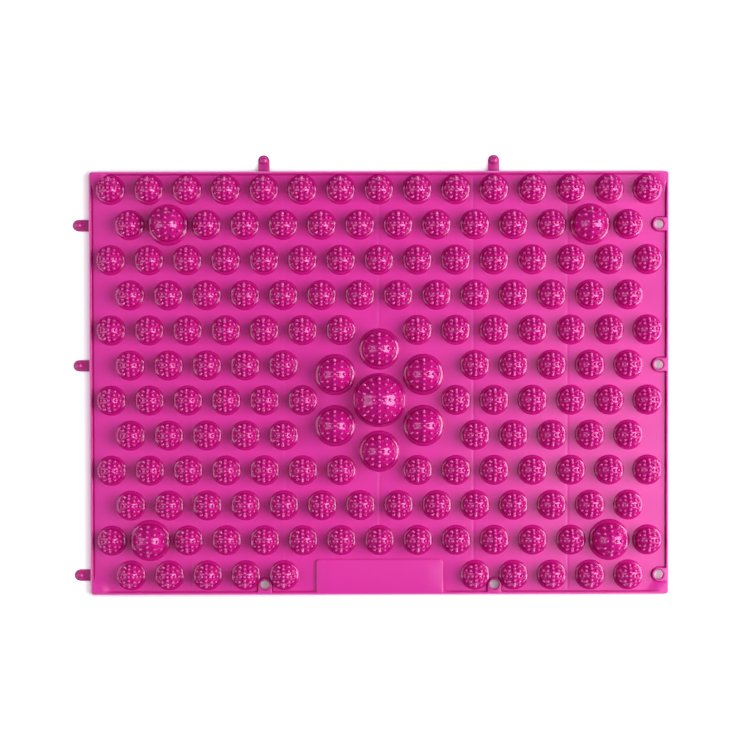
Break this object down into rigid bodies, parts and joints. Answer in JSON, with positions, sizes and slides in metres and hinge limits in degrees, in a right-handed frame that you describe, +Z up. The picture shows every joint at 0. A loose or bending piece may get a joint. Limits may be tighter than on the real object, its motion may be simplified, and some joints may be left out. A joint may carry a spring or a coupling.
{
  "type": "acupressure foot mat",
  "caption": "Rectangular moulded foot mat with staggered rows of domed massage heads, a flower of larger heads in the middle, and snap tabs and sockets on its edges.",
  "frame": {"origin": "middle of the plate on the floor, on the underside of its middle rib", "axes": "+X to the right along the long side, +Y to the back edge opposite the label pad, +Z up from the floor"},
  "size_m": [0.4014, 0.2964, 0.0237],
  "materials": {
    "plate": "satin moulded plastic",
    "heads": "glossy soft rubber"
  },
  "bodies": {
    "root": {"base_plate": "plate", "centre_head": "heads", "ring_head_1": "heads", "ring_head_2": "heads", "ring_head_3": "heads", "ring_head_4": "heads", "ring_head_5": "heads", "ring_head_6": "heads", "corner_head_back_left": "heads", "corner_head_back_right": "heads", "corner_head_front_left": "heads", "corner_head_front_right": "heads"}
  },
  "joints": []
}
